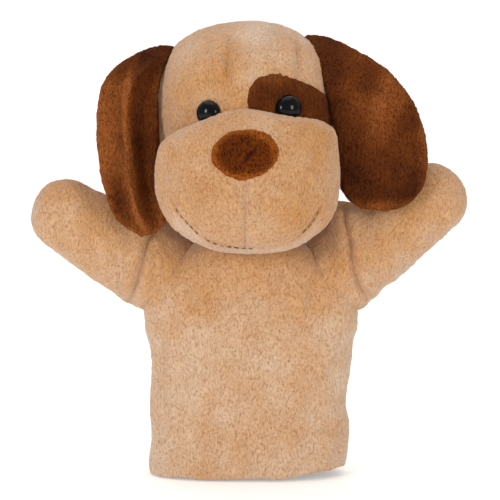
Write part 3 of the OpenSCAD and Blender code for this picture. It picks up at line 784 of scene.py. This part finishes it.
# The pillow swelled away from its middle by soft lumps and the two cheeks, less the seam down its middle,
# the mouth's line and the step to the chin strip below it.
def makeMuzzle():
    t, lean = np.meshgrid(np.linspace(-math.pi, math.pi, muzzle["columns"], endpoint=False),
                          np.linspace(0, math.pi, muzzle["rows"]), indexing="ij")
    x, y, z = muzzleSurface(t, lean)
    flat = np.stack([x, y, z], -1)
    swell = 0.9 * noise(flat, 26, 81) + 0.45 * noise(flat, 12, 82)
    front = smoothStep(-18, -30, y)
    seam = bell(x, -2.4, 1.1) * front * smoothStep(122, 127, z) * smoothStep(178, 168, z)
    swell -= muzzle["seam"] * seam
    swell += muzzle["cheeks"] * (bell(x, -20, 13) + bell(x, 17, 13)) * bell(z, 152, 20) * front
    below, inside = belowMouth(x, z)
    swell -= inside * front * (muzzle["mouthLine"] * bell(below, 0, 0.95)
                               + muzzle["chinStep"] * smoothStep(0, 1.2, below))
    dx, dy, dz = x - muzzle["centre"][0], y - muzzle["middle"], z - muzzle["centre"][1]
    size = np.maximum(np.sqrt(dx ** 2 + dy ** 2 + dz ** 2), 1)
    k = swell / size
    return gridPiece("muzzleCloth", np.stack([x + dx * k, y + dy * k, z + dz * k], -1), weld=0.05)


# painted light at the muzzle's top, down its middle and on the chin strip's lip, painted shade to the
# puppet's left
def muzzleLightAndShade(x, y, z):
    below, inside = belowMouth(x, z)
    return (-0.06 + 0.06 * smoothStep(176, 186, z) - 0.08 * smoothStep(8, 34, x)
            + 0.1 * bell(x, -2, 9) * smoothStep(172, 150, z) + 0.2 * inside * smoothStep(0, 2, below))


muzzleCloth = makeMuzzle()
raisePile(muzzleCloth, dict(shortPile, lumps=0.35), 91)
setNapAndPaintedLight(muzzleCloth, muzzleLightAndShade)
finishPiece(muzzleCloth, tanPlush, "muzzle_left", "muzzle_right", "chin_panel", "throat_panel")
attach(muzzleCloth, "head")


# the muzzle's front y at a place across and up: its surface's formula solved for turn and lean
def muzzleY(x, z):
    dx, dz = x - muzzle["centre"][0], z - muzzle["centre"][1]
    turn = np.arctan2(dx, dz)
    sine = np.clip(np.hypot(dx, dz) / outlineReach(turn), 0, 1) ** (1 / muzzle["roundSide"])
    return muzzleSurface(turn, np.arcsin(sine))[1]


print("head: skull and muzzle")


# An n by n square grid drawn into a round one: each of its two values, from -1 to 1, is multiplied by the
# root of one less half the other's square, so that the square's edges fall on a circle.
def roundPatch(n):
    u, v = np.meshgrid(np.linspace(-1, 1, n), np.linspace(-1, 1, n), indexing="ij")
    return u * np.sqrt(1 - v * v / 2), v * np.sqrt(1 - u * u / 2)


nose = dict(centre=(-2.4, 173.9), half=(16.9, 12.2), height=4.6, lean=0.06, grid=150, point=0.05,
            narrowing=0.13, ragged=0.028, sink=0.2, back=1.2)


# An oval pad on the muzzle, narrower and a little pointed below, with a ragged edge: its front is a rounded
# dome over the muzzle's surface, and its back lies just inside it.
def makeNose():
    p, q = roundPatch(nose["grid"])
    out = np.hypot(p, q)
    lower = np.clip(-q, 0, 1)
    point = 1 + nose["point"] * lower ** 3
    turn = np.arctan2(p, q)
    edgeLine = np.stack([np.sin(turn) * 15, np.cos(turn) * 15, 0 * turn], -1)
    ragged = 1 + nose["ragged"] * noise(edgeLine, 1.4, 103) * smoothStep(0.7, 1, out)
    p, q = p * ragged, q * ragged
    x = nose["centre"][0] + nose["half"][0] * p * (1 - nose["narrowing"] * np.clip(-q, 0, 1) ** 2)
    z = nose["centre"][1] + nose["half"][1] * q * point + nose["lean"] * (x - nose["centre"][0])
    base = muzzleY(x, z)
    dome = nose["height"] * (1 - np.clip(out, 0, 1) ** 3.2) ** 0.62
    front = np.stack([x, base - dome - nose["sink"], z], -1)
    back = np.stack([x, base + nose["back"] * (1 - out ** 4) - nose["sink"], z], -1)
    return doubledSheet("noseCloth", front, back)


# two grids over the same outline, laid edge to edge, become one closed piece
def doubledSheet(name, front, back):
    loop = np.concatenate([front, back[:, ::-1]], 1)
    piece = gridPiece(name, loop, False, True, weld=0.03)
    work = bmesh.new()
    work.from_mesh(piece.data)
    holes = [e for e in work.edges if e.is_boundary]
    if holes:
        bmesh.ops.holes_fill(work, edges=holes, sides=0)
    bmesh.ops.recalc_face_normals(work, faces=work.faces)
    work.to_mesh(piece.data)
    work.free()
    return piece


# a painted sheen round the nose's edge, and painted shade in a short slanting crease near its middle
def noseSheenAndShade(x, y, z):
    out = np.hypot((x + 2.4) / 17, (z - 174) / 12.4)
    stroke = bell(x + 1.5 - 0.9 * (z - 172), 0, 1.6) * bell(z, 173, 6)
    return -0.08 + 0.36 * smoothStep(0.62, 1.0, out) - 0.25 * stroke


noseCloth = makeNose()
raisePile(noseCloth, dict(shortPile, lumps=0.2), 101)
setNapAndPaintedLight(noseCloth, noseSheenAndShade)
finishPiece(noseCloth, nosePlush, "nose_patch")
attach(noseCloth, "head")

patch = dict(
    outline=((-1.5, 198.2), (-1.5, 203.1), (1, 208.1), (6, 212), (13.6, 213), (20.6, 211.5), (25.7, 209),
             (32.9, 205.9), (40.3, 200.6), (44.1, 194.8), (45.3, 187.6), (43.3, 181.4), (30.6, 181.9),
             (12.6, 184.9), (1, 190.1)),
    middle=(22.0, 197.0), grid=170, cloth=1.5, proud=0.3, back=0.8, ragged=0.45,
    easedFrom=38, easedBy=5.2)


# A flat shape laid over the face: its outline reaches from its middle, and the inside is filled evenly. Its
# far end is eased short under the ear by a hyperbolic tangent, so that it never passes the head's side.
def makePatch():
    p, q = roundPatch(patch["grid"])
    out, turn = np.hypot(p, q), np.arctan2(p, q)
    line = curveThrough(patch["outline"], np.linspace(0, 1, 721), closed=True)
    cx, cz = patch["middle"]
    around = np.arctan2(line[:, 0] - cx, line[:, 1] - cz)
    order = np.argsort(around)
    distance = np.hypot(line[:, 0] - cx, line[:, 1] - cz)
    reach = np.interp(turn, around[order], distance[order], period=2 * math.pi)
    edgeLine = np.stack([np.sin(turn) * 30, np.cos(turn) * 30, 0 * turn], -1)
    ragged = noise(edgeLine, 1.6, 113) * smoothStep(0.8, 1, out) * smoothStep(0.9, 0.6, np.sin(turn))
    reach = reach + patch["ragged"] * ragged
    x, z = cx + reach * out * np.sin(turn), cz + reach * out * np.cos(turn)
    start, by = patch["easedFrom"], patch["easedBy"]
    x = np.where(x > start, start + by * np.tanh((x - start) / by), x)
    base = faceY(x, z)
    edge = smoothStep(1, 0.93, out)
    front = np.stack([x, base - patch["proud"] - patch["cloth"] * edge, z], -1)
    back = np.stack([x, base + patch["back"], z], -1)
    return doubledSheet("eyePatchCloth", front, back)


# paler along the patch's top and at its inner end
def patchNap(x, y, z):
    return 0.16 * bell(x, 12, 9) * smoothStep(204, 211, z) - 0.06 + 0.1 * smoothStep(6, 0, x)


eyePatchCloth = makePatch()
raisePile(eyePatchCloth, dict(shortPile, lumps=0.3), 111)
setNapAndPaintedLight(eyePatchCloth, patchNap)
finishPiece(eyePatchCloth, brownPlush, "eye_patch")
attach(eyePatchCloth, "head")

eyes = dict(
    dome=0.64, rim=0.3, stem=1.9, stemLength=7, disc=1.4, columns=72,
    left=dict(x=18.3, z=195.4, size=7.2, proud=3.0), right=dict(x=-20.4, z=193.5, size=6.5, proud=1.7))


# A turned shape about the face's own slope, which is measured probe mm to each side: a low dome with a
# narrow rim, on a stem that runs back into the head.
def makeEye(name, x, z, size, proud):
    probe = 0.6
    y = float(faceY(np.array(x), np.array(z)))
    acrossStep = faceY(np.array(x + probe), np.array(z)) - faceY(np.array(x - probe), np.array(z))
    upStep = faceY(np.array(x), np.array(z + probe)) - faceY(np.array(x), np.array(z - probe))
    out = np.array([float(acrossStep) / (2 * probe), -1, float(upStep) / (2 * probe)])
    out /= np.linalg.norm(out)
    right = np.cross([0, 0, 1], out)
    right /= np.linalg.norm(right)
    up = np.cross(out, right)
    turn = np.linspace(0, math.pi / 2, 20)
    r, dome, stem, disc = size - eyes["rim"], size * eyes["dome"], eyes["stem"], -eyes["disc"]
    radius = np.concatenate([[0, stem, stem, r * 0.8, size - 0.3, size, size - 0.35], r * np.cos(turn)])
    height = np.concatenate([[-eyes["stemLength"], -eyes["stemLength"], disc, disc, -1.2, -0.5, 0.1],
                             0.15 + dome * np.sin(turn)])
    a = np.linspace(0, 2 * math.pi, eyes["columns"], endpoint=False)[:, None]
    ring = (np.cos(a)[..., None] * right + np.sin(a)[..., None] * up) * radius[None, :, None]
    points = np.array([x, y, z]) + ring + out * (height + proud)[None, :, None]
    return gridPiece(name, points, True, False, weld=0.005, sharp=45)


for word in ("left", "right"):
    piece = makeEye(word + "EyeDome", **eyes[word])
    finishPiece(piece, eyeBlack, word + "_eye")
    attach(piece, "head")


stitches = dict(count=26, thick=0.3, sides=8, rings=9, gap=0.14, inside=2.3, endDip=0.9)


# Short rods along the mouth's line, each a tube that thins and dips into the cloth at both ends. They sink
# by a little that varies, most in the middle of the mouth, and stand prouder at its corners.
def makeStitches():
    count, rings = stitches["count"], stitches["rings"]
    line = curveThrough(muzzle["mouth"], np.linspace(0, 1, count * 40))
    step = np.concatenate([[0], np.cumsum(np.linalg.norm(np.diff(line, axis=0), axis=1))])
    length = step[-1] / count
    gap = stitches["gap"]
    along = (np.arange(count)[:, None] + gap + (1 - 2 * gap) * np.linspace(0, 1, rings)[None]) * length
    x, z = np.interp(along, step, line[:, 0]), np.interp(along, step, line[:, 1])
    t = np.linspace(-1, 1, rings)[None]
    varied = 0.3 * np.sin(2.3 * np.arange(count))[:, None]
    sunk = varied + 1.0 * bell(x, 0, 24) - 1.5 * smoothStep(22, 33, np.abs(x))
    y = muzzleY(x, z) + stitches["inside"] + sunk + stitches["endDip"] * t ** 4
    thick = stitches["thick"] * np.sqrt(np.clip(1 - np.abs(t) ** 6, 0, 1)) * np.ones_like(x)
    a = np.linspace(0, 2 * math.pi, stitches["sides"], endpoint=False)
    points = np.stack([x[..., None] + 0 * a, y[..., None] - np.cos(a) * thick[..., None],
                       z[..., None] + np.sin(a) * thick[..., None]], -1)
    made = [gridPiece("stitch", np.moveaxis(rod, 1, 0), True, False, weld=0.002) for rod in points]
    with bpy.context.temp_override(active_object=made[0], selected_editable_objects=made, object=made[0]):
        bpy.ops.object.join()
    made[0].name = "mouthStitches"
    return made[0]


mouthStitches = makeStitches()
finishPiece(mouthStitches, stitchThread, "mouth_stitches")
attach(mouthStitches, "head")
print("head: nose, patch, eyes and stitches")


# edge points are across, up and front to back; length is from the seam to the tip
leftEarLook = dict(
    inner=((28, 231, 9.5), (32, 223, 0), (35.5, 213.5, -6), (39.5, 202.5, -10), (42.2, 191.7, -12),
           (43.6, 180, -12.5), (44.8, 169, -12), (46, 157, -11.5), (49.6, 149.2, -10.5),
           (57.8, 143.2, -10.5)),
    outer=((30, 232.6, 9.5), (39.6, 231.6, 8), (51.5, 226.9, 5), (64, 219.6, 1), (74.2, 211, -3),
           (82.5, 201, -5), (88.2, 189, -7), (91.6, 175, -8), (91.2, 160.5, -9.5), (87.2, 151.3, -10),
           (79.4, 144.6, -10.5), (69.7, 142.2, -10.5)),
    thick=4.4, length=92, columns=190, rows=230, flat=(0.055, 0.098))
rightEarLook = dict(
    inner=((-39, 225.6, 8.5), (-43.5, 218, -1), (-46, 209, -6.5), (-47, 198, -10), (-47, 184, -12),
           (-47, 170, -13), (-46.6, 156, -13), (-44.8, 144, -12.5), (-43.8, 136.5, -12), (-48.6, 130.9, -12)),
    outer=((-41, 227, 8.5), (-49.5, 226.4, 8), (-59.4, 223, 5), (-69.8, 216.2, 1), (-75.8, 207.6, -3),
           (-78.4, 197, -5), (-78.9, 181, -8), (-77.8, 166, -10), (-75, 153, -11), (-72, 143.6, -11),
           (-66.4, 135.8, -12), (-56, 128.9, -12)),
    thick=4.4, length=92, columns=150, rows=230, flat=(0.046, 0.098))


# A flap between two edge curves: across runs from the inner edge to the outer one, down from the seam
# to the tip. Its front and back stand half the thickness off its middle and meet at a rounded rim.
def makeEar(name, look, shape):
    across, down = np.meshgrid(np.linspace(0, 1, look["columns"]), np.linspace(0, 1, look["rows"]),
                               indexing="ij")
    inner, outer = curveThrough(look["inner"], down), curveThrough(look["outer"], down)
    middle = (inner + (outer - inner) * across[..., None])[..., [0, 2, 1]]
    rim = np.minimum(np.minimum(across, 1 - across) * np.linalg.norm(outer - inner, axis=-1),
                     np.minimum(down, 1 - down) * look["length"])
    rimShare = np.clip(rim / (look["thick"] * 0.55), 0, 1)
    half = look["thick"] / 2 * np.sqrt(np.clip(1 - (1 - rimShare) ** 2, 0, 1))
    lift = shape(across, down, middle)
    front = middle + np.stack([0 * lift, -lift - half, 0 * lift], -1)
    back = middle + np.stack([0 * lift, -lift * 0.9 + half, 0 * lift], -1)
    return doubledSheet(name, front, back)


# How far the broad ear stands forward: gently domed, curling forward along its outer edge, with a shallow
# dent. s runs across it and t down it.
def broadEar(s, t, middle):
    dome = 3.4 * np.sin(math.pi * s) * np.sin(math.pi * t) ** 0.7
    curl = 1.6 * bell(s, 0.93, 0.07) * smoothStep(0.15, 0.4, t)
    dent = 1.2 * bell(s, 0.45, 0.12) * bell(t, 0.55, 0.3)
    return dome + curl - dent + 0.7 * noise(middle, 22, 121)


# How far the narrow ear stands forward: folded lengthwise, so that a ridge runs down it with a valley
# beside the head, and pinched near its tip.
def narrowEar(s, t, middle):
    centre = 0.44 + 0.08 * bell(t, 0.45, 0.3)
    fold = np.exp(-np.sqrt(((s - centre) / 0.16) ** 2 + 0.02))
    ridge = 11.5 * fold * smoothStep(0.08, 0.3, t) * smoothStep(1.02, 0.82, t)
    valley = -4.5 * bell(s, centre - 0.25, 0.13) * smoothStep(0.1, 0.3, t) * smoothStep(1.0, 0.85, t)
    pinch = -3.5 * bell(s, 0.62, 0.13) * bell(t, 0.86, 0.07)
    return ridge + valley + pinch + 0.6 * noise(middle, 18, 122)


# the broad ear has painted light on its swell, at its tip and along its outer edge, and painted shade low and
# beside the head
def broadEarLightAndShade(x, y, z):
    return (-0.02 + 0.17 * bell(x, 70, 10) * bell(z, 200, 20) - 0.1 * smoothStep(182, 165, z)
            + 0.26 * smoothStep(151, 145, z) - 0.12 * smoothStep(52, 42, x) + 0.2 * smoothStep(84, 91, x))


# a painted highlight along the narrow ear's ridge and painted shade in the valley beside it
def narrowEarHighlightAndShade(x, y, z):
    ridge = runThrough(((131, -59), (150, -59.5), (170, -61.5), (190, -63.6), (212, -62.8), (225, -60)), z)
    pale = 0.34 * bell(x - ridge, 0, 1.5) * smoothStep(218, 206, z)
    pale += 0.12 * bell(x, -77, 6) * smoothStep(205, 185, z)
    dark = 0.2 * smoothStep(1, 5, x - ridge) * smoothStep(146, 158, z)
    dark += 0.24 * bell(x, -67.5, 3.5) * bell(z, 150, 9)
    tip, top = smoothStep(150, 136, z) * smoothStep(-62, -54, x), smoothStep(205, 222, z)
    return 0.11 + pale - dark + 0.2 * tip - 0.08 * top


leftEarCloth = makeEar("leftEarCloth", leftEarLook, broadEar)
rightEarCloth = makeEar("rightEarCloth", rightEarLook, narrowEar)
setNapAndPaintedLight(leftEarCloth, broadEarLightAndShade)
setNapAndPaintedLight(rightEarCloth, narrowEarHighlightAndShade)
for piece, word, look, seed in ((leftEarCloth, "left", leftEarLook, 131),
                                (rightEarCloth, "right", rightEarLook, 141)):
    raisePile(piece, dict(shortPile, lumps=0.4, tufts=0.4, ends=0.22), seed)
    finishPiece(piece, brownPlush, word + "_ear_front", word + "_ear_back")
    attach(piece, word + "_ear")
print("ears: two flaps")


label = dict(halfWidth=10, low=17, length=29, gap=0.25, behind=19.4, wave=0.35, waveSize=4, rows=10,
             columns=12)


# A strip folded double: it runs up from its lower edge to the fold and back down, a gap apart, with a small
# wave across.
def makeLabel():
    rows, half = label["rows"], label["halfWidth"]
    share = np.concatenate([np.linspace(0, 1, rows), np.linspace(1, 0, rows)])
    gap = label["gap"] * np.concatenate([np.ones(rows), -np.ones(rows)])
    x, i = np.meshgrid(np.linspace(-half, half, label["columns"]), np.arange(2 * rows), indexing="ij")
    y = neckY + label["behind"] + gap[i] + label["wave"] * np.sin(x / label["waveSize"])
    z = label["low"] + label["length"] * share[i] + 0.2 * gap[i]
    strip = np.stack([x, y, z], -1)
    return doubledSheet("careLabel", strip[:, :rows], strip[:, rows:][:, ::-1])


careLabel = makeLabel()
finishPiece(careLabel, labelSatin, "care_label")
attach(careLabel, "glove")

# the CAD nodes inside the cloth, which keep their own meshes
insideMaterials = {
    "head_stuffing": fibreFill, "muzzle_stuffing": fibreFill, "nose_padding": fibreFill,
    "left_paw_stuffing": fibreFill, "right_paw_stuffing": fibreFill, "finger_pocket": knitLining,
    "left_eye_washer": washerWhite, "right_eye_washer": washerWhite}
for nodeName, material in insideMaterials.items():
    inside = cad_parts[nodeName]
    inside.data.materials.clear()
    inside.data.materials.append(material)
print("inside: label, stuffing and washers")
